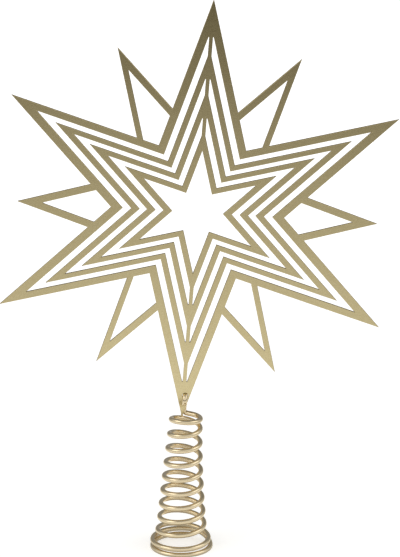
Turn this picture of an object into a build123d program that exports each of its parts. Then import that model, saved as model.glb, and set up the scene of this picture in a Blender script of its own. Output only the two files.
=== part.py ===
from build123d import *
import math
import os

os.makedirs("parts", exist_ok=True)

# A star for the top of a tree: a flat cut sheet, hooked on the upper end of a conical wire spring.
# Driving sizes, in millimetres unless the name says otherwise.
# Origin: on the coil's axis, in the plane it stands on. Z is up, the star faces -Y.

# Star sheet: centre to a main tip, its thickness, the strips that join one ring to the next,
# the blunt ends of the slots beside those strips, and the tab that the lower tip ends in
star_radius = 110.0
sheet_thickness = 1.2
neck_width = 1.9
slot_end_width = 0.3
tip_tab_width = 1.0

# Wire, and the radius of its centre line at the coil's base, above the flare and at the top
wire_diameter = 2.6
base_radius = 14.75
shoulder_radius = 11.75
top_radius = 7.35

# Coil heights: the clear gap over the closed base turn, the rise of the flare,
# the pitch low and high, the last rise, and the drop of the last strand towards the hook
base_gap = 0.5
first_rise = 5.3
first_pitch = 6.97
last_pitch = 7.83
top_rise = 1.32
top_drop = 0.25

# Flat under the base turn, where the coil stands
base_flat_depth = 0.5

# Wire's upper end: bend out of the coil, stem behind the sheet, leg in front of it
hook_bend_radius = 1.7
stem_length = 6.55
leg_length = 2.3

# The coil bends to the right by this much over its height, and the star leans with it;
# hook, star and the coil's middle turns lean forward as well
lean_degrees = 4.3
lean_forward_degrees = 3.2

# Running clearance of the hole on the wire, play of the sheet between stem and leg,
# and how far right of the star's middle the hole is
running_clearance = 0.1
side_play = 0.3
hole_offset = 0.85

# Places along the coil, counted in turns from the back of its lowest turn
quarter_turn = 0.25
small_turn = 0.0003
coil_start_turns = -0.02
base_flat_turns = 0.72
lift_end_turns = 0.945
rise_start_turns = 1.48
flare_start_turns = 1.25
body_start_turns = 2.25
cone_start_turns = 2.5
tip_start_turns = 1.75
tip_full_turns = 2.75
tip_easing_turns = 6.5
tip_end_turns = 9.5
top_start_turns = 10.25
top_flat_turns = 10.5
coil_end_turns = 10.935

# Star outlines as shares of the star radius: a quarter of each,
# from the upright axis round to the level axis; the other three quarters are its mirror images
main_quarter_shares = ((0.0, 1.0), (0.1966, 0.3055), (0.866, 0.5), (0.3904, 0.0))
small_quarter_shares = ((0.0, 0.3336), (0.410, 0.751), (0.2536, 0.1773), (0.812, 0.0))
ring_shares = ((1.0, 0.866), (0.766, 0.670), (0.583, 0.487), (0.394, 0.294))
small_point_shares = (1.0, 0.866)
small_point_seat_share = 0.95
hole_to_centre_share = 0.894
lower_tip_cut_share = 0.996
neck_overlap_shares = 2.0
cut_block_shares = 4.0

# How fast the cone narrows: above 1 it narrows faster near its wide end
taper_power = 1.2

# Sizes that follow from the ones above
wire_radius = wire_diameter / 2
lean = math.radians(lean_degrees)
lean_forward = math.radians(lean_forward_degrees)
base_height = wire_radius - base_flat_depth
lift_height = base_height + wire_diameter + base_gap
body_start_height = lift_height + first_rise
body_turns = top_start_turns - body_start_turns
pitch_growth = (last_pitch - first_pitch) / body_turns
body_end_height = body_start_height + body_turns * (first_pitch + last_pitch) / 2
top_height = body_end_height + top_rise
end_height = top_height - top_drop
cone_turns = top_flat_turns - cone_start_turns
cone_slope = (top_radius - shoulder_radius) * taper_power / cone_turns
hook_radius = (sheet_thickness + wire_diameter) / 2 + side_play
hook_outer = hook_radius + wire_radius
hook_inner = math.sqrt(side_play * (sheet_thickness + side_play))
hole_diameter = hook_outer - hook_inner + 2 * running_clearance
hole_above_bend = (hook_outer + hook_inner) / 2
hole_to_centre = star_radius * hole_to_centre_share
tip_slope = main_quarter_shares[1][0] / (main_quarter_shares[0][1] - main_quarter_shares[1][1])


def ease(start, end, start_slope, end_slope, share):
    """A smooth step from start to end that has the given slope at each end of its span."""
    square = share * share
    cube = square * share
    step = start + (end - start) * (3 * square - 2 * cube)
    return step + start_slope * (cube - 2 * square + share) + end_slope * (cube - square)


def eased_between(first_turn, last_turn, start, end, start_slope, end_slope, turn):
    """The smooth step over a span of the coil, with its slopes counted per turn."""
    span = last_turn - first_turn
    return ease(start, end, start_slope * span, end_slope * span, (turn - first_turn) / span)


def coil_height(turn):
    """Height of the wire's centre line along the coil's axis."""
    if turn <= base_flat_turns:
        return base_height
    if turn <= lift_end_turns:
        return eased_between(base_flat_turns, lift_end_turns, base_height, lift_height, 0, 0, turn)
    if turn <= rise_start_turns:
        return lift_height
    if turn <= body_start_turns:
        return eased_between(
            rise_start_turns, body_start_turns, lift_height, body_start_height, 0, first_pitch, turn
        )
    if turn <= top_start_turns:
        past = turn - body_start_turns
        return body_start_height + past * (first_pitch + pitch_growth * past / 2)
    if turn <= top_flat_turns:
        return eased_between(
            top_start_turns, top_flat_turns, body_end_height, top_height, last_pitch, 0, turn
        )
    return eased_between(top_flat_turns, coil_end_turns, top_height, end_height, 0, 0, turn)


def coil_radius(turn):
    """Distance of the wire's centre line from the coil's axis."""
    if turn <= flare_start_turns:
        return base_radius
    if turn <= cone_start_turns:
        return eased_between(
            flare_start_turns, cone_start_turns, base_radius, shoulder_radius, 0, cone_slope, turn
        )
    if turn <= top_flat_turns:
        left_share = (top_flat_turns - turn) / cone_turns
        return top_radius + (shoulder_radius - top_radius) * left_share**taper_power
    return top_radius


def on_axis(height):
    """Frame on the coil's axis, which bends to the right by the whole lean over the coil's height."""
    angle = lean * height / top_height
    bend = top_height / lean
    origin = (bend * (1 - math.cos(angle)), 0, bend * math.sin(angle))
    right = (math.cos(angle), 0, -math.sin(angle))
    up = (math.sin(angle), 0, math.cos(angle))
    return Plane(origin, x_dir=right, z_dir=up)


def star_frame():
    """Frame at the coil's top that leans forward with the star."""
    top = on_axis(top_height)
    up = top.z_dir * math.cos(lean_forward) - top.y_dir * math.sin(lean_forward)
    return Plane(top.origin, x_dir=top.x_dir, z_dir=up)


def turn_tip(turn):
    """Slope of a turn, which tips forward as far as the star does in the middle of the coil."""
    slope = math.tan(lean_forward)
    if turn <= tip_start_turns or turn >= tip_end_turns:
        return 0
    if turn <= tip_full_turns:
        return eased_between(tip_start_turns, tip_full_turns, 0, slope, 0, 0, turn)
    if turn <= tip_easing_turns:
        return slope
    return eased_between(tip_easing_turns, tip_end_turns, slope, 0, 0, 0, turn)


def coil_point(turn):
    """Point of the wire's centre line; the coil is right-handed and a whole turn is at the back."""
    angle = math.pi / 2 + 2 * math.pi * turn
    right = coil_radius(turn) * math.cos(angle)
    back = coil_radius(turn) * math.sin(angle)
    frame = on_axis(coil_height(turn))
    return frame.from_local_coords(Vector(right, back, back * turn_tip(turn)))


def coil_direction(turn):
    """Direction of the wire, rising."""
    return (coil_point(turn + small_turn) - coil_point(turn - small_turn)).normalized()


def biarc(start, start_direction, end, end_direction):
    """Two arcs that join the ends and keep the direction at each."""
    across = end - start
    both = start_direction + end_direction
    spread = 2 * (1 - start_direction.dot(end_direction))
    along = across.dot(both)
    reach = (math.sqrt(along * along + spread * across.dot(across)) - along) / spread
    first_corner = start + start_direction * reach
    second_corner = end - end_direction * reach
    middle = (first_corner + second_corner) * 0.5
    return [
        TangentArc(start, middle, tangent=start_direction),
        TangentArc(middle, end, tangent=second_corner - first_corner),
    ]


def coil_path():
    """Centre line of the coil: a straight end, arcs for every quarter turn, and a straight end."""
    turn = coil_start_turns
    start = coil_point(turn)
    edges = [Line(start - coil_direction(turn) * wire_diameter, start)]
    while turn < coil_end_turns:
        next_turn = min(turn + quarter_turn, coil_end_turns)
        next_point = coil_point(next_turn)
        edges += biarc(coil_point(turn), coil_direction(turn), next_point, coil_direction(next_turn))
        turn = next_turn
    end = coil_point(turn)
    edges.append(Line(end, end + coil_direction(turn) * wire_diameter))
    return edges


def tube(edges):
    """Round wire along a chain of edges."""
    path = Wire([edge.edge() for edge in edges])
    face = Plane(path @ 0, z_dir=path % 0) * Circle(wire_radius)
    return sweep(face, path=path)


def least_gap(edges):
    """Least gap of a wound wire to itself, on points along its centre line."""
    samples_per_edge = 12
    edges_per_half_turn = 4
    points = []
    for edge in edges:
        for count in range(samples_per_edge):
            points.append(edge @ (count / samples_per_edge))
    skip = samples_per_edge * edges_per_half_turn
    closest = min(
        (points[first] - points[second]).length
        for first in range(len(points))
        for second in range(first + skip, len(points))
    )
    return closest - wire_diameter


def coil_spring(edges):
    """The wound part of the wire, cut flat where it stands."""
    under = base_radius * cut_block_shares
    below = Pos(0, 0, -under / 2) * Box(under, under, under)
    return tube(edges) - below


def hook_edges(start, direction, frame):
    """Centre line of the wire's upper end: bend, stem behind the sheet, turn through it, leg in front."""
    up = frame.z_dir
    forward = -frame.y_dir
    stem_foot = start + (direction + up) * hook_bend_radius
    stem_top = stem_foot + up * stem_length
    crown = stem_top + (forward + up) * hook_radius
    leg_top = stem_top + forward * hook_radius * 2
    return [
        TangentArc(start, stem_foot, tangent=direction),
        Line(stem_foot, stem_top),
        ThreePointArc(stem_top, crown, leg_top),
        Line(leg_top, leg_top - up * leg_length),
    ]


def outline(quarter_shares, share):
    """Closed star face: a quarter of its corners and their mirror images."""
    size = star_radius * share
    quarter = [(size * across, size * up) for across, up in quarter_shares]
    right_low = [(across, -up) for across, up in quarter[-2::-1]]
    right = quarter + right_low
    left = [(-across, up) for across, up in right[-2:0:-1]]
    return make_face(Polyline(*right, *left, close=True))


def rings():
    """The nested star outlines."""
    faces = []
    for outer, inner in ring_shares:
        faces.append(outline(main_quarter_shares, outer) - outline(main_quarter_shares, inner))
    return Sketch() + faces


def small_points():
    """The six open points between the main ones, which end in the outer ring."""
    outer, inner = small_point_shares
    band = outline(small_quarter_shares, outer) - outline(small_quarter_shares, inner)
    return band - outline(main_quarter_shares, small_point_seat_share)


def necks():
    """Strips on the upright axis that carry each ring from the one around it, wide where they start."""
    overlap = neck_width * neck_overlap_shares
    wide = neck_width + 2 * slot_end_width
    strips = []
    for around, within in zip(ring_shares, ring_shares[1:]):
        corner = star_radius * around[1]
        high = corner + overlap
        low = star_radius * within[0] - overlap
        slot_end = corner - wide / 2 / tip_slope
        for strip_width, strip_low in ((neck_width, low), (wide, slot_end)):
            strip = Rectangle(strip_width, high - strip_low)
            strips.append(Pos(0, (high + strip_low) / 2) * strip)
            strips.append(Pos(0, -(high + strip_low) / 2) * strip)
    return Sketch() + strips


def star_plate():
    """The cut sheet, with the hole for the wire near its lower tip, which ends in a small tab."""
    sheet = rings() + small_points() + necks()
    sheet -= Pos(hole_offset, -hole_to_centre) * Circle(hole_diameter / 2)
    cut = star_radius * lower_tip_cut_share
    sheet -= Pos(0, -cut - star_radius / 2) * Rectangle(star_radius, star_radius)
    tab_top = star_radius - tip_tab_width / 2 / tip_slope - tip_tab_width
    sheet += Pos(0, -(cut + tab_top) / 2) * Rectangle(tip_tab_width, cut - tab_top)
    return extrude(sheet, amount=sheet_thickness / 2, both=True)


# Coil
coil_edges = coil_path()
coil = coil_spring(coil_edges)
print("least gap of the coil to itself, mm:", round(least_gap(coil_edges), 3))

# Hook on the coil's upper end
top_frame = star_frame()
coil_end = coil_edges[-1] @ 1
coil_end_direction = coil_edges[-1] % 1
hook_line = hook_edges(coil_end, coil_end_direction, top_frame)
hook = tube(hook_line)

# Star on the hook: the hole goes round the wire where it passes through the sheet
stem_top = hook_line[1] @ 1
hole_centre = stem_top - top_frame.y_dir * hook_radius + top_frame.z_dir * hole_above_bend
star_centre = hole_centre + top_frame.z_dir * hole_to_centre - top_frame.x_dir * hole_offset
star = Plane(star_centre, x_dir=top_frame.x_dir, z_dir=-top_frame.y_dir) * star_plate()

for name, solid in (("coil_spring", coil), ("star_hook", hook), ("star_plate", star)):
    export_step(solid, f"parts/{name}.step")
    box = solid.bounding_box()
    print(name, "solids", len(solid.solids()), "from", box.min, "to", box.max)
print("hole centre, mm:", hole_centre)
print("star centre, mm:", star_centre)
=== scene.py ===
import math

import bmesh
import bpy
from mathutils import Matrix, Quaternion, Vector


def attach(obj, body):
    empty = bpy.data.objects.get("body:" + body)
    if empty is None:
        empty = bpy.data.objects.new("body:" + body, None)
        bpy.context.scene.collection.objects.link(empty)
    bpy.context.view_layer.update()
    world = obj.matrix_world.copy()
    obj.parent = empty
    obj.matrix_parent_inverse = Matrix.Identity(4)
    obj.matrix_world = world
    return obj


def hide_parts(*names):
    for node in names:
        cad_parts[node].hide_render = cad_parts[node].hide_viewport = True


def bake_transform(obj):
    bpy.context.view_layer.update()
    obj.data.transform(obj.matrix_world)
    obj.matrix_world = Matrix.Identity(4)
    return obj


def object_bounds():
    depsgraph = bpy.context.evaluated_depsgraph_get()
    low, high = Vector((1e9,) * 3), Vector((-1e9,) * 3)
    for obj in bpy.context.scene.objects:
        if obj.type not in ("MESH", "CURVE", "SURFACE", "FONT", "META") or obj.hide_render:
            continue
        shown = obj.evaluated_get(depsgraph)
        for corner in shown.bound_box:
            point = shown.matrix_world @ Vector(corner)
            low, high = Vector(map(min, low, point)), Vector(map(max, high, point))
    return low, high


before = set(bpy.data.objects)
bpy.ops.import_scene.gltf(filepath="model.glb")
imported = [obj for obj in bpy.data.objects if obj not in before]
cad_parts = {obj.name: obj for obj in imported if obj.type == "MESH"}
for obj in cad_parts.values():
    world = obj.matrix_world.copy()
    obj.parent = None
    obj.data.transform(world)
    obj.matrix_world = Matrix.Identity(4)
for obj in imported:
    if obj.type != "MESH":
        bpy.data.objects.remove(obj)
cad_low, cad_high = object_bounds()
mm = 0.001

# Wire spring, in metres: the same driving sizes as the solid that it stands for
wire_radius = 1.3 * mm
base_radius = 14.75 * mm
shoulder_radius = 11.75 * mm
top_radius = 7.35 * mm
base_gap = 0.5 * mm
first_rise = 5.3 * mm
first_pitch = 6.97 * mm
last_pitch = 7.83 * mm
top_rise = 1.32 * mm
top_drop = 0.25 * mm
base_flat_depth = 0.5 * mm
lean = math.radians(4.3)
lean_forward = math.radians(3.2)
taper_power = 1.2

# Wire's upper end, hooked through the sheet
sheet_thickness = 1.2 * mm
side_play = 0.3 * mm
hook_bend_radius = 1.7 * mm
stem_length = 6.55 * mm
leg_length = 2.3 * mm

# Places along the coil, counted in turns from the back of its lowest turn
coil_start_turns = -0.02
base_flat_turns = 0.72
lift_end_turns = 0.945
rise_start_turns = 1.48
flare_start_turns = 1.25
body_start_turns = 2.25
cone_start_turns = 2.5
tip_start_turns = 1.75
tip_full_turns = 2.75
tip_easing_turns = 6.5
tip_end_turns = 9.5
top_start_turns = 10.25
top_flat_turns = 10.5
coil_end_turns = 10.935
small_turn = 0.0003

# Fineness and finish of the meshes
wire_sides = 24
rings_a_turn = 56
rings_a_bend = 14
wire_end_bevel = 0.28 * mm
sheet_edge_bevel = 0.14 * mm
rounding_segments = 2

# Sizes that follow from the ones above
wire_diameter = 2 * wire_radius
base_height = wire_radius - base_flat_depth
lift_height = base_height + wire_diameter + base_gap
body_start_height = lift_height + first_rise
body_turns = top_start_turns - body_start_turns
pitch_growth = (last_pitch - first_pitch) / body_turns
body_end_height = body_start_height + body_turns * (first_pitch + last_pitch) / 2
top_height = body_end_height + top_rise
end_height = top_height - top_drop
cone_turns = top_flat_turns - cone_start_turns
cone_slope = (top_radius - shoulder_radius) * taper_power / cone_turns
hook_radius = (sheet_thickness + wire_diameter) / 2 + side_play

# Camera, fitted to the star's tips and the coil's turns
image_height_px = 557
focal_length_px = 3490
sensor_mm = 36
camera_target = Vector((9.86, -4.01, 144.55)) * mm
camera_distance = 1736 * mm
camera_azimuth = math.radians(1.14)
camera_elevation = math.radians(17.59)
camera_roll = math.radians(0.19)
camera_reach = 20.0

# Lamps, in metres
lamp_width = 1.0
left_lamp_place = (-1.1, -0.5, 1.1)
left_lamp_strength = 1.0
right_lamp_place = (1.1, -0.2, 1.1)
right_lamp_strength = 0.7


def linear(hex_colour):
    """An sRGB hex colour as linear red, green, blue and alpha."""
    channels = [int(hex_colour[place : place + 2], 16) / 255 for place in (1, 3, 5)]
    return [c / 12.92 if c <= 0.04045 else ((c + 0.055) / 1.055) ** 2.4 for c in channels] + [1.0]


def add_node(tree, kind, settings=None, inputs=None):
    """Adds a shader node, sets its properties, and fills or links its inputs."""
    node = tree.nodes.new(kind)
    for name, value in (settings or {}).items():
        setattr(node, name, value)
    for name, value in (inputs or {}).items():
        if isinstance(value, bpy.types.NodeSocket):
            tree.links.new(value, node.inputs[name])
        else:
            node.inputs[name].default_value = value
    return node


def new_material(name):
    """An empty node material with its output, and the tree."""
    material = bpy.data.materials.new(name)
    material.use_nodes = True
    material.node_tree.nodes.clear()
    output = add_node(material.node_tree, "ShaderNodeOutputMaterial")
    return material, material.node_tree, output


def sheet_lacquer():
    """Champagne gold lacquer sprayed on flat steel: satin, with fine flake and a slight orange peel."""
    # Real flake is finer; it is drawn as coarse as it needs to show
    flake_size = 0.5 * mm
    peel_size = 1.6 * mm
    peel_depth = 0.1 * mm
    peel_strength = 0.06
    cloud_size = 40 * mm
    smooth_roughness = 0.20
    dull_roughness = 0.27
    material, tree, output = new_material("champagne_lacquered_steel_sheet")
    place = add_node(tree, "ShaderNodeTexCoord").outputs["Object"]
    flake = add_node(tree, "ShaderNodeTexVoronoi", {}, {"Vector": place, "Scale": 1 / flake_size})
    cloud = add_node(
        tree, "ShaderNodeTexNoise", {},
        {"Vector": place, "Scale": 1 / cloud_size, "Detail": 3.0},
    )
    peel = add_node(
        tree, "ShaderNodeTexNoise", {},
        {"Vector": place, "Scale": 1 / peel_size, "Detail": 2.0},
    )
    spark = add_node(tree, "ShaderNodeSeparateColor", {}, {"Color": flake.outputs["Color"]})
    tone = add_node(
        tree, "ShaderNodeMix", {"data_type": "RGBA"},
        {"Factor": spark.outputs["Red"], "A": linear("#dfcf9f"), "B": linear("#e7d8a9")},
    )
    shade = add_node(
        tree, "ShaderNodeMix", {"data_type": "RGBA", "blend_type": "MULTIPLY"},
        {"Factor": cloud.outputs["Fac"], "A": tone.outputs["Result"], "B": linear("#f4f3f0")},
    )
    rough = add_node(
        tree, "ShaderNodeMapRange", {},
        {"Value": peel.outputs["Fac"], "To Min": smooth_roughness, "To Max": dull_roughness},
    )
    bump = add_node(
        tree, "ShaderNodeBump", {},
        {"Height": peel.outputs["Fac"], "Strength": peel_strength, "Distance": peel_depth},
    )
    surface = add_node(
        tree, "ShaderNodeBsdfPrincipled", {},
        {
            "Base Color": shade.outputs["Result"],
            "Metallic": 1.0,
            "Roughness": rough.outputs["Result"],
            "Normal": bump.outputs["Normal"],
        },
    )
    tree.links.new(surface.outputs["BSDF"], output.inputs["Surface"])
    return material


def edge_lacquer():
    """The same lacquer on the sheet's cut edge: thinner and rough with the marks of the cut; its darker
    colour is painted shade for the cut edges, which lie in shadow.
    """
    mark_spacing = 0.35 * mm
    mark_depth = 0.05 * mm
    mark_strength = 0.3
    roughness = 0.46
    # The marks run straight through the sheet, so the pattern is drawn out along its thickness
    drawn_out = (1.0, 0.08, 1.0)
    material, tree, output = new_material("champagne_cut_edge_painted_shade")
    place = add_node(tree, "ShaderNodeTexCoord").outputs["Object"]
    squeezed = add_node(tree, "ShaderNodeMapping", {}, {"Vector": place, "Scale": drawn_out})
    marks = add_node(
        tree, "ShaderNodeTexNoise", {},
        {"Vector": squeezed.outputs["Vector"], "Scale": 1 / mark_spacing, "Detail": 2.0},
    )
    # Both edge colours are darker than the face's: painted shade along the cut edges
    tone = add_node(
        tree, "ShaderNodeMix", {"data_type": "RGBA"},
        {"Factor": marks.outputs["Fac"], "A": linear("#9c8c62"), "B": linear("#b4a37a")},
    )
    bump = add_node(
        tree, "ShaderNodeBump", {},
        {"Height": marks.outputs["Fac"], "Strength": mark_strength, "Distance": mark_depth},
    )
    surface = add_node(
        tree, "ShaderNodeBsdfPrincipled", {},
        {
            "Base Color": tone.outputs["Result"],
            "Metallic": 1.0,
            "Roughness": roughness,
            "Normal": bump.outputs["Normal"],
        },
    )
    tree.links.new(surface.outputs["BSDF"], output.inputs["Surface"])
    return material


def wire_lacquer():
    """Champagne gold lacquer on drawn spring wire: glossier than the sheet, faint draw lines along it."""
    line_spacing = 0.5 * mm
    line_depth = 0.02 * mm
    line_strength = 0.02
    cloud_size = 6 * mm
    smooth_roughness = 0.13
    dull_roughness = 0.18
    material, tree, output = new_material("champagne_lacquered_spring_wire")
    along = add_node(tree, "ShaderNodeAttribute", {"attribute_name": "along_wire"}).outputs["Vector"]
    place = add_node(tree, "ShaderNodeTexCoord").outputs["Object"]
    lines = add_node(
        tree, "ShaderNodeTexNoise", {},
        {"Vector": along, "Scale": 1 / line_spacing, "Detail": 2.0},
    )
    cloud = add_node(
        tree, "ShaderNodeTexNoise", {},
        {"Vector": place, "Scale": 1 / cloud_size, "Detail": 2.0},
    )
    tone = add_node(
        tree, "ShaderNodeMix", {"data_type": "RGBA"},
        {"Factor": lines.outputs["Fac"], "A": linear("#e3d1ac"), "B": linear("#ead9b6")},
    )
    rough = add_node(
        tree, "ShaderNodeMapRange", {},
        {"Value": cloud.outputs["Fac"], "To Min": smooth_roughness, "To Max": dull_roughness},
    )
    bump = add_node(
        tree, "ShaderNodeBump", {},
        {"Height": lines.outputs["Fac"], "Strength": line_strength, "Distance": line_depth},
    )
    surface = add_node(
        tree, "ShaderNodeBsdfPrincipled", {},
        {
            "Base Color": tone.outputs["Result"],
            "Metallic": 1.0,
            "Roughness": rough.outputs["Result"],
            "Normal": bump.outputs["Normal"],
        },
    )
    tree.links.new(surface.outputs["BSDF"], output.inputs["Surface"])
    return material


def sheared_steel():
    """Bare steel at the wire's sheared ends: dull, streaked across by the blade."""
    streak_width = 0.25 * mm
    roughness = 0.5
    material, tree, output = new_material("sheared_steel_wire_end")
    place = add_node(tree, "ShaderNodeTexCoord").outputs["Object"]
    streak = add_node(
        tree, "ShaderNodeTexNoise", {},
        {"Vector": place, "Scale": 1 / streak_width, "Detail": 3.0},
    )
    tone = add_node(
        tree, "ShaderNodeMix", {"data_type": "RGBA"},
        {"Factor": streak.outputs["Fac"], "A": linear("#6b6252"), "B": linear("#a3967a")},
    )
    surface = add_node(
        tree, "ShaderNodeBsdfPrincipled", {},
        {"Base Color": tone.outputs["Result"], "Metallic": 1.0, "Roughness": roughness},
    )
    tree.links.new(surface.outputs["BSDF"], output.inputs["Surface"])
    return material


def ease(start, end, start_slope, end_slope, share):
    """A smooth step from start to end that has the given slope at each end of its span."""
    square = share * share
    cube = square * share
    step = start + (end - start) * (3 * square - 2 * cube)
    return step + start_slope * (cube - 2 * square + share) + end_slope * (cube - square)


def eased_between(first_turn, last_turn, start, end, start_slope, end_slope, turn):
    """The smooth step over a span of the coil, with its slopes counted per turn."""
    span = last_turn - first_turn
    return ease(start, end, start_slope * span, end_slope * span, (turn - first_turn) / span)


def coil_height(turn):
    """Height of the wire's centre line along the coil's axis."""
    if turn <= base_flat_turns:
        return base_height
    if turn <= lift_end_turns:
        return eased_between(base_flat_turns, lift_end_turns, base_height, lift_height, 0, 0, turn)
    if turn <= rise_start_turns:
        return lift_height
    if turn <= body_start_turns:
        return eased_between(
            rise_start_turns, body_start_turns, lift_height, body_start_height, 0, first_pitch, turn
        )
    if turn <= top_start_turns:
        past = turn - body_start_turns
        return body_start_height + past * (first_pitch + pitch_growth * past / 2)
    if turn <= top_flat_turns:
        return eased_between(
            top_start_turns, top_flat_turns, body_end_height, top_height, last_pitch, 0, turn
        )
    return eased_between(top_flat_turns, coil_end_turns, top_height, end_height, 0, 0, turn)


def coil_radius(turn):
    """Distance of the wire's centre line from the coil's axis."""
    if turn <= flare_start_turns:
        return base_radius
    if turn <= cone_start_turns:
        return eased_between(
            flare_start_turns, cone_start_turns, base_radius, shoulder_radius, 0, cone_slope, turn
        )
    if turn <= top_flat_turns:
        left_share = (top_flat_turns - turn) / cone_turns
        return top_radius + (shoulder_radius - top_radius) * left_share**taper_power
    return top_radius


def on_axis(height):
    """Frame on the coil's axis, which bends to the right by the whole lean over the coil's height."""
    angle = lean * height / top_height
    bend = top_height / lean
    origin = Vector((bend * (1 - math.cos(angle)), 0, bend * math.sin(angle)))
    return Matrix.Translation(origin) @ Matrix.Rotation(angle, 4, "Y")


def turn_tip(turn):
    """Slope of a turn, which tips forward as far as the star does in the middle of the coil."""
    slope = math.tan(lean_forward)
    if turn <= tip_start_turns or turn >= tip_end_turns:
        return 0
    if turn <= tip_full_turns:
        return eased_between(tip_start_turns, tip_full_turns, 0, slope, 0, 0, turn)
    if turn <= tip_easing_turns:
        return slope
    return eased_between(tip_easing_turns, tip_end_turns, slope, 0, 0, 0, turn)


def coil_point(turn):
    """Point of the wire's centre line; the coil is right-handed and a whole turn is at the back."""
    angle = math.pi / 2 + 2 * math.pi * turn
    right = coil_radius(turn) * math.cos(angle)
    back = coil_radius(turn) * math.sin(angle)
    return on_axis(coil_height(turn)) @ Vector((right, back, back * turn_tip(turn)))


def coil_direction(turn):
    """Direction of the wire, rising."""
    return (coil_point(turn + small_turn) - coil_point(turn - small_turn)).normalized()


def arc_points(start, centre, axis, angle):
    """Points round an arc after its start."""
    points = []
    for count in range(1, rings_a_bend + 1):
        turned = Quaternion(axis, angle * count / rings_a_bend)
        points.append(centre + turned @ (start - centre))
    return points


def wire_route():
    """Centre line of the whole wire: straight end, coil, bend, stem behind the sheet, turn, front leg."""
    turns = coil_end_turns - coil_start_turns
    points = [coil_point(coil_start_turns) - coil_direction(coil_start_turns) * wire_diameter]
    rings = round(turns * rings_a_turn)
    points += [coil_point(coil_start_turns + turns * count / rings) for count in range(rings + 1)]
    direction = coil_direction(coil_end_turns)
    bend_start = points[-1] + direction * wire_diameter
    points.append(bend_start)
    top = on_axis(top_height).to_3x3() @ Matrix.Rotation(lean_forward, 3, "X")
    up = top @ Vector((0, 0, 1))
    forward = top @ Vector((0, -1, 0))
    bend = direction.angle(up)
    inward = (up - direction * direction.dot(up)).normalized()
    bend_centre = bend_start + inward * hook_bend_radius / math.tan(bend / 2)
    points += arc_points(bend_start, bend_centre, direction.cross(up).normalized(), bend)
    stem_top = points[-1] + up * stem_length
    points.append(stem_top)
    points += arc_points(stem_top, stem_top + forward * hook_radius, up.cross(forward), math.pi)
    points.append(points[-1] - up * leg_length)
    return points


def ring_frames(points):
    """A frame square to the wire at each point, turned no more than the wire bends."""
    frames = []
    last = len(points) - 1
    direction = (points[1] - points[0]).normalized()
    turn = direction.to_track_quat("Z", "Y")
    for count, point in enumerate(points):
        ahead = points[min(count + 1, last)] - point
        behind = point - points[max(count - 1, 0)]
        new_direction = (ahead.normalized() + behind.normalized()).normalized()
        turn = direction.rotation_difference(new_direction) @ turn
        direction = new_direction
        frames.append(Matrix.Translation(point) @ turn.to_matrix().to_4x4())
    return frames


def spring_wire():
    """The whole wire as one swept tube with rounded ends, flat where it stands."""
    mesh = bmesh.new()
    points = wire_route()
    frames = ring_frames(points)
    along_layer = mesh.verts.layers.float_vector.new("along_wire")
    bmesh.ops.create_circle(
        mesh, cap_ends=True, segments=wire_sides, radius=wire_radius, matrix=frames[0]
    )
    mesh.faces.ensure_lookup_table()
    foot = mesh.faces[0]
    cap = foot
    for vert in foot.verts:
        vert[along_layer] = frames[0].inverted() @ vert.co
    for before, after in zip(frames, frames[1:]):
        made = bmesh.ops.extrude_face_region(mesh, geom=[cap])["geom"]
        moved = [item for item in made if isinstance(item, bmesh.types.BMVert)]
        if cap != foot:
            bmesh.ops.delete(mesh, geom=[cap], context="FACES_ONLY")
        cap = next(item for item in made if isinstance(item, bmesh.types.BMFace))
        bmesh.ops.transform(mesh, matrix=after @ before.inverted(), verts=moved)
        for vert in moved:
            vert[along_layer] = after.inverted() @ vert.co
    bmesh.ops.recalc_face_normals(mesh, faces=mesh.faces)
    caps = [face for face in mesh.faces if len(face.verts) == wire_sides]
    rims = [edge for face in caps for edge in face.edges]
    for face in mesh.faces:
        face.smooth = face not in caps
        face.material_index = 1 if face in caps else 0
    bmesh.ops.bevel(
        mesh, geom=rims, offset=wire_end_bevel, offset_type="OFFSET", affect="EDGES",
        segments=rounding_segments, profile=0.5, material=-1,
    )
    everything = mesh.verts[:] + mesh.edges[:] + mesh.faces[:]
    cut = bmesh.ops.bisect_plane(
        mesh, geom=everything, plane_co=(0, 0, 0), plane_no=(0, 0, 1), clear_inner=True
    )
    rim = [item for item in cut["geom_cut"] if isinstance(item, bmesh.types.BMEdge)]
    flat = bmesh.ops.edgeloop_fill(mesh, edges=rim)["faces"]
    for face in flat:
        face.smooth = False
    bmesh.ops.recalc_face_normals(mesh, faces=mesh.faces)
    return piece_from(mesh, "spring_wire", [wire_lacquer(), sheared_steel()])


def star_sheet():
    """The cut sheet with its edges broken, as a merged copy of the solid's mesh."""
    mesh = bmesh.new()
    mesh.from_mesh(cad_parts["star_plate"].data)
    merge_distance = 0.001 * mm
    flat_angle = math.radians(1)
    sharp_angle = math.radians(30)
    facing_share = 0.9
    bmesh.ops.remove_doubles(mesh, verts=mesh.verts, dist=merge_distance)
    bmesh.ops.dissolve_limit(mesh, angle_limit=flat_angle, verts=mesh.verts, edges=mesh.edges)
    for face in mesh.faces:
        face.smooth = False
        face.material_index = 0 if abs(face.normal.y) > facing_share else 1
    outline = [edge for edge in mesh.edges if edge.calc_face_angle(0) > sharp_angle]
    front = [edge for edge in outline if any(face.material_index == 0 for face in edge.link_faces)]
    bmesh.ops.bevel(
        mesh, geom=front, offset=sheet_edge_bevel, offset_type="OFFSET", affect="EDGES",
        segments=rounding_segments, profile=0.5, material=-1,
    )
    return piece_from(mesh, "star_sheet", [sheet_lacquer(), edge_lacquer()])


def piece_from(mesh, name, materials):
    """An object at the origin from a finished mesh."""
    data = bpy.data.meshes.new(name)
    mesh.to_mesh(data)
    mesh.free()
    for material in materials:
        data.materials.append(material)
    piece = bpy.data.objects.new(name, data)
    bpy.context.scene.collection.objects.link(piece)
    return piece


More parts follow.
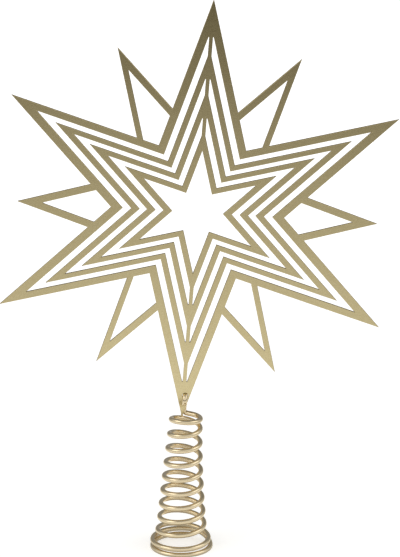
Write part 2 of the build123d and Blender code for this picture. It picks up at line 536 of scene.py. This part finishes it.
def floor_paper():
    """Matt white paper: white to the eye; to the metal, shaded under the coil and fading with distance."""
    fibre_size = 4 * mm
    # What the metal sees, in metres on the floor: the fade, and less of it far behind the object
    fade_middle = (-0.04, 0.0, 0.0)
    fade_start = 0.1
    fade_end = 0.825
    behind_start = 0.25
    behind_end = 0.8
    behind_share = 0.5
    # A lighter and a dimmer patch of the floor, as the metal sees them: middle, reach, change of the fade
    patches = (
        ((-0.09, -0.57, 0.0), 0.14, -0.085),
        ((-0.1, -0.3, 0.0), 0.17, 0.06),
    )
    # The coil's own shade on the floor, as the metal sees it
    shade_start = 0.014
    shade_end = 0.035
    shade_level = 0.45
    # What is added for the eye, to make the lit floor just white and keep the shadow round the coil
    shown_near = 0.515
    shown_far = 0.75
    shown_start = 0.15
    shown_end = 0.6
    material, tree, output = new_material("matt_white_paper")
    place = add_node(tree, "ShaderNodeTexCoord").outputs["Object"]
    fibre = add_node(
        tree, "ShaderNodeTexNoise", {},
        {"Vector": place, "Scale": 1 / fibre_size, "Detail": 4.0},
    )
    tone = add_node(
        tree, "ShaderNodeMix", {"data_type": "RGBA"},
        {"Factor": fibre.outputs["Fac"], "A": linear("#f4f3f0"), "B": linear("#f9f8f6")},
    )
    distance = add_node(tree, "ShaderNodeVectorMath", {"operation": "DISTANCE"}, {0: place, 1: fade_middle})
    fade = add_node(
        tree, "ShaderNodeMapRange", {},
        {"Value": distance.outputs["Value"], "From Min": fade_start, "From Max": fade_end},
    )
    parts = add_node(tree, "ShaderNodeSeparateXYZ", {}, {"Vector": place})
    behind = add_node(
        tree, "ShaderNodeMapRange", {},
        {
            "Value": parts.outputs["Y"],
            "From Min": behind_start,
            "From Max": behind_end,
            "To Min": 1.0,
            "To Max": behind_share,
        },
    )
    depth = add_node(
        tree, "ShaderNodeMath", {"operation": "MULTIPLY"},
        {0: fade.outputs["Result"], 1: behind.outputs["Result"]},
    )
    for middle, reach, change in patches:
        away = add_node(tree, "ShaderNodeVectorMath", {"operation": "DISTANCE"}, {0: place, 1: middle})
        patch = add_node(
            tree, "ShaderNodeMapRange", {"interpolation_type": "SMOOTHSTEP"},
            {"Value": away.outputs["Value"], "From Max": reach, "To Min": change, "To Max": 0.0},
        )
        depth = add_node(
            tree, "ShaderNodeMath", {"operation": "ADD"},
            {0: depth.outputs["Value"], 1: patch.outputs["Result"]},
        )
    far = add_node(
        tree, "ShaderNodeMix", {"data_type": "RGBA"},
        {"Factor": depth.outputs["Value"], "A": linear("#ffffff"), "B": linear("#3d3722")},
    )
    from_coil = add_node(tree, "ShaderNodeVectorMath", {"operation": "LENGTH"}, {0: place})
    shaded = add_node(
        tree, "ShaderNodeMapRange", {},
        {
            "Value": from_coil.outputs["Value"],
            "From Min": shade_start,
            "From Max": shade_end,
            "To Min": shade_level,
        },
    )
    rays = add_node(tree, "ShaderNodeLightPath")
    shown_level = add_node(
        tree, "ShaderNodeMapRange", {},
        {
            "Value": from_coil.outputs["Value"],
            "From Min": shown_start,
            "From Max": shown_end,
            "To Min": shown_near,
            "To Max": shown_far,
        },
    )
    shown = add_node(
        tree, "ShaderNodeMath", {"operation": "MULTIPLY"},
        {0: rays.outputs["Is Camera Ray"], 1: shown_level.outputs["Result"]},
    )
    mirrored = add_node(
        tree, "ShaderNodeMath", {"operation": "MAXIMUM"},
        {0: rays.outputs["Is Glossy Ray"], 1: rays.outputs["Is Transmission Ray"]},
    )
    matt = add_node(tree, "ShaderNodeBsdfDiffuse", {}, {"Color": tone.outputs["Result"]})
    glow = add_node(
        tree, "ShaderNodeEmission", {}, {"Color": linear("#ffffff"), "Strength": shown.outputs["Value"]}
    )
    lit = add_node(tree, "ShaderNodeAddShader", {}, {0: matt.outputs["BSDF"], 1: glow.outputs["Emission"]})
    faded = add_node(
        tree, "ShaderNodeEmission", {},
        {"Color": far.outputs["Result"], "Strength": shaded.outputs["Result"]},
    )
    surface = add_node(
        tree, "ShaderNodeMixShader", {},
        {0: mirrored.outputs["Value"], 1: lit.outputs["Shader"], 2: faded.outputs["Emission"]},
    )
    tree.links.new(surface.outputs["Shader"], output.inputs["Surface"])
    return material


def floor():
    """A wide paper floor under the coil."""
    half_width = 6.0
    mesh = bmesh.new()
    bmesh.ops.create_grid(mesh, x_segments=1, y_segments=1, size=half_width)
    sheet = piece_from(mesh, "floor", [floor_paper()])


def studio_air():
    """The room: white to the eye; to the metal, bright low in front, dim above and behind."""
    # Directions are shares of a unit vector: up from level, and back from the side
    ceiling_start = 0.5
    ceiling_end = 0.9
    low_level = 0.9
    ceiling_level = 0.34
    back_start = 0.0
    back_end = 0.7
    back_share = 0.33
    world = bpy.data.worlds.new("studio")
    bpy.context.scene.world = world
    world.use_nodes = True
    tree = world.node_tree
    tree.nodes.clear()
    rays = add_node(tree, "ShaderNodeLightPath")
    way = add_node(tree, "ShaderNodeTexCoord").outputs["Generated"]
    parts = add_node(tree, "ShaderNodeSeparateXYZ", {}, {"Vector": way})
    low = add_node(
        tree, "ShaderNodeMapRange", {},
        {
            "Value": parts.outputs["Z"],
            "From Min": ceiling_start,
            "From Max": ceiling_end,
            "To Min": low_level,
            "To Max": ceiling_level,
        },
    )
    front = add_node(
        tree, "ShaderNodeMapRange", {},
        {
            "Value": parts.outputs["Y"],
            "From Min": back_start,
            "From Max": back_end,
            "To Min": 1.0,
            "To Max": back_share,
        },
    )
    level = add_node(
        tree, "ShaderNodeMath", {"operation": "MULTIPLY"},
        {0: low.outputs["Result"], 1: front.outputs["Result"]},
    )
    dim = add_node(
        tree, "ShaderNodeBackground", {},
        {"Color": linear("#ffffff"), "Strength": level.outputs["Value"]},
    )
    white = add_node(tree, "ShaderNodeBackground", {}, {"Color": linear("#ffffff"), "Strength": 1.0})
    mixed = add_node(
        tree, "ShaderNodeMixShader", {},
        {0: rays.outputs["Is Camera Ray"], 1: dim.outputs["Background"], 2: white.outputs["Background"]},
    )
    output = add_node(tree, "ShaderNodeOutputWorld")
    tree.links.new(mixed.outputs["Shader"], output.inputs["Surface"])


def softbox(name, place, aim, width, strength):
    """A square soft lamp at a place, turned to a point; its face shows the given strength."""
    data = bpy.data.lights.new(name, "AREA")
    data.shape = "SQUARE"
    data.size = width
    data.energy = strength * math.pi * width * width
    lamp = bpy.data.objects.new(name, data)
    lamp.location = place
    lamp.rotation_euler = (Vector(aim) - Vector(place)).to_track_quat("-Z", "Y").to_euler()
    bpy.context.scene.collection.objects.link(lamp)


def photo_camera():
    """Camera at the fitted place."""
    data = bpy.data.cameras.new("photo_camera")
    data.sensor_width = sensor_mm
    data.lens = focal_length_px * sensor_mm / image_height_px
    data.clip_end = camera_reach
    camera = bpy.data.objects.new("photo_camera", data)
    level = math.cos(camera_elevation)
    view = Vector(
        (level * math.sin(camera_azimuth), level * math.cos(camera_azimuth), -math.sin(camera_elevation))
    )
    camera.location = camera_target - view * camera_distance
    aimed = view.to_track_quat("-Z", "Y")
    camera.rotation_mode = "QUATERNION"
    camera.rotation_quaternion = Quaternion(view, camera_roll) @ aimed
    bpy.context.scene.collection.objects.link(camera)
    bpy.context.scene.camera = camera


# Object
wire = spring_wire()
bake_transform(wire)
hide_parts("coil_spring", "star_hook")
star = star_sheet()
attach(star, "star")
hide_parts("star_plate")

# Stage
floor()
studio_air()
object_middle = (cad_low + cad_high) / 2
softbox("left_softbox", left_lamp_place, object_middle, lamp_width, left_lamp_strength)
softbox("right_softbox", right_lamp_place, object_middle, lamp_width, right_lamp_strength)
photo_camera()
bpy.context.scene.view_settings.view_transform = "Standard"
